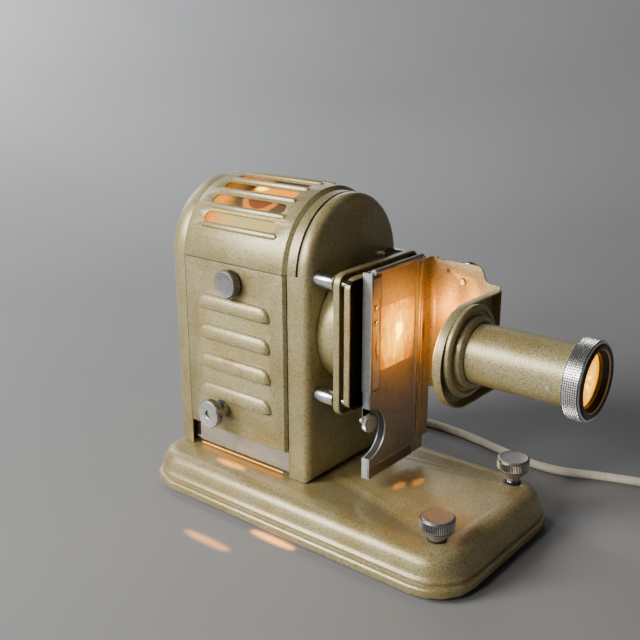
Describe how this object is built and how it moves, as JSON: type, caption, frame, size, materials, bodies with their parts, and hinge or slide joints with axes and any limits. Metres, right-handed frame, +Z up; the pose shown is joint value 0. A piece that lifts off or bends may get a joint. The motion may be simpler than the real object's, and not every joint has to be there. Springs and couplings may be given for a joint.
{
  "type": "slide projector",
  "caption": "Mains slide projector with a vaulted slotted lamp house, a sheet metal slide chute, a lens on a bracket arm, knurled levelling screws and a coiled cord.",
  "frame": {"origin": "on the surface that the projector stands on, under the middle of its length and width without the cord", "axes": "+X along the optical axis towards the lens, +Z up, -Y towards the lamp house's door"},
  "size_m": [0.4592, 0.3937, 0.249],
  "materials": {
    "hammer_paint": "beige-gold hammered enamel, fine speckle, satin",
    "aluminium": "turned, knurled on the rims",
    "chrome": "bright plated steel",
    "zinc_sheet": "plated sheet, dull",
    "black_lacquer": "black, semi-gloss",
    "rubber": "moulded",
    "ceramic": "white glazed ceramic",
    "glass": "polished",
    "mirror": "silvered",
    "brass": "turned",
    "cord": "cream sheath",
    "bakelite": "dark brown moulding"
  },
  "bodies": {
    "base": {"base_shell": "hammer_paint", "bottom_plate": "zinc_sheet", "rear_foot_near": "rubber", "rear_foot_far": "rubber", "terminal_block": "ceramic", "strain_relief": "rubber", "screw_bush_near": "black_lacquer", "screw_bush_far": "black_lacquer", "front_cap": "hammer_paint", "rear_cap": "hammer_paint", "far_panel": "hammer_paint", "floor_tray": "zinc_sheet", "lamp_reflector": "mirror", "reflector_stud": "zinc_sheet", "condenser_drum": "hammer_paint", "condenser_rear_lens": "glass", "heat_filter": "glass", "condenser_front_lens": "glass", "spacer_post_upper_near": "chrome", "spacer_post_upper_far": "chrome", "spacer_post_lower_near": "chrome", "spacer_post_lower_far": "chrome", "rear_plate": "hammer_paint", "front_plate": "hammer_paint", "aperture_frame": "black_lacquer", "slide_channel": "zinc_sheet", "chute_front": "zinc_sheet", "slide_spring_near": "zinc_sheet", "slide_spring_far": "zinc_sheet", "spring_rivet_lower": "chrome", "spring_rivet_upper": "chrome", "lens_arm": "hammer_paint", "lens_plate": "hammer_paint", "lens_socket": "hammer_paint", "cord_lead": "cord", "cord_coil": "cord", "plug_body": "bakelite", "plug_pin_left": "brass", "plug_pin_right": "brass"},
    "near_spindle": {"screw_spindle_near": "chrome"},
    "near_levelling_knob": {"levelling_knob_near": "aluminium"},
    "far_spindle": {"screw_spindle_far": "chrome"},
    "far_levelling_knob": {"levelling_knob_far": "aluminium"},
    "top_cover": {"top_cover": "hammer_paint"},
    "side_door": {"side_door": "hammer_paint", "adjuster_collar": "black_lacquer"},
    "latch_knob": {"latch_knob": "aluminium"},
    "adjuster_spindle": {"adjuster_spindle": "chrome"},
    "adjuster_knob": {"adjuster_knob": "aluminium"},
    "lamp_carriage": {"lamp_carriage": "zinc_sheet", "lamp_socket": "ceramic", "lamp_bulb": "glass"},
    "lens_tube": {"lens_tube": "hammer_paint", "rear_glass": "glass", "front_glass": "glass"},
    "focus_ring": {"focus_ring": "aluminium", "lens_bezel": "black_lacquer"},
    "thumb_screw": {"thumb_screw": "chrome"},
    "clamp_knob": {"clamp_knob": "aluminium"}
  },
  "joints": [
    {"name": "near_screw_lift", "type": "slide", "parent": "base", "child": "near_spindle", "axis": [0, 0, 1], "range_m": [0, 0.012]},
    {"name": "near_screw_turn", "type": "hinge", "parent": "near_spindle", "child": "near_levelling_knob", "pos_m": [0.0935, -0.0479, 0.041], "axis": [0, 0, 1], "range_deg": [0, 2880]},
    {"name": "far_screw_lift", "type": "slide", "parent": "base", "child": "far_spindle", "axis": [0, 0, 1], "range_m": [0, 0.012]},
    {"name": "far_screw_turn", "type": "hinge", "parent": "far_spindle", "child": "far_levelling_knob", "pos_m": [0.0935, 0.0569, 0.044], "axis": [0, 0, 1], "range_deg": [0, 2880]},
    {"name": "cover_lift", "type": "slide", "parent": "base", "child": "top_cover", "axis": [0, 0, 1], "range_m": [0, 0.1]},
    {"name": "door_pull", "type": "slide", "parent": "base", "child": "side_door", "axis": [0, -1, 0], "range_m": [0, 0.08]},
    {"name": "latch_turn", "type": "hinge", "parent": "side_door", "child": "latch_knob", "pos_m": [-0.0934, -0.0483, 0.177], "axis": [0, -1, 0], "range_deg": [0, 720]},
    {"name": "adjuster_travel", "type": "slide", "parent": "side_door", "child": "adjuster_spindle", "axis": [0, -1, 0], "range_m": [0, 0.005]},
    {"name": "adjuster_turn", "type": "hinge", "parent": "adjuster_spindle", "child": "adjuster_knob", "pos_m": [-0.108, -0.0595, 0.0715], "axis": [0, -1, 0], "range_deg": [0, 1800]},
    {"name": "lamp_shift", "type": "slide", "parent": "base", "child": "lamp_carriage", "axis": [0, -1, 0], "range_m": [0, 0.005]},
    {"name": "focus_travel", "type": "slide", "parent": "base", "child": "lens_tube", "axis": [1, 0, 0], "range_m": [-0.02, 0.012]},
    {"name": "focus_turn", "type": "hinge", "parent": "lens_tube", "child": "focus_ring", "pos_m": [0.164, 0.0105, 0.146], "axis": [1, 0, 0], "range_deg": [-90, 54]},
    {"name": "thumb_screw_turn", "type": "hinge", "parent": "base", "child": "thumb_screw", "pos_m": [0.009, -0.0105, 0.0794], "axis": [1, 0, 0], "range_deg": [0, 720]},
    {"name": "clamp_turn", "type": "hinge", "parent": "base", "child": "clamp_knob", "pos_m": [0.0445, 0.0613, 0.1797], "axis": [0, 1, 0], "range_deg": [0, 720]}
  ],
  "couplings": [
    {"joint": "near_screw_turn", "follows": "near_screw_lift", "rad_per_m": 4188.8},
    {"joint": "far_screw_turn", "follows": "far_screw_lift", "rad_per_m": 4188.8},
    {"joint": "adjuster_travel", "follows": "lamp_shift", "ratio": 1},
    {"joint": "adjuster_turn", "follows": "lamp_shift", "rad_per_m": 6283.1},
    {"joint": "focus_turn", "follows": "focus_travel", "rad_per_m": 78.53}
  ]
}
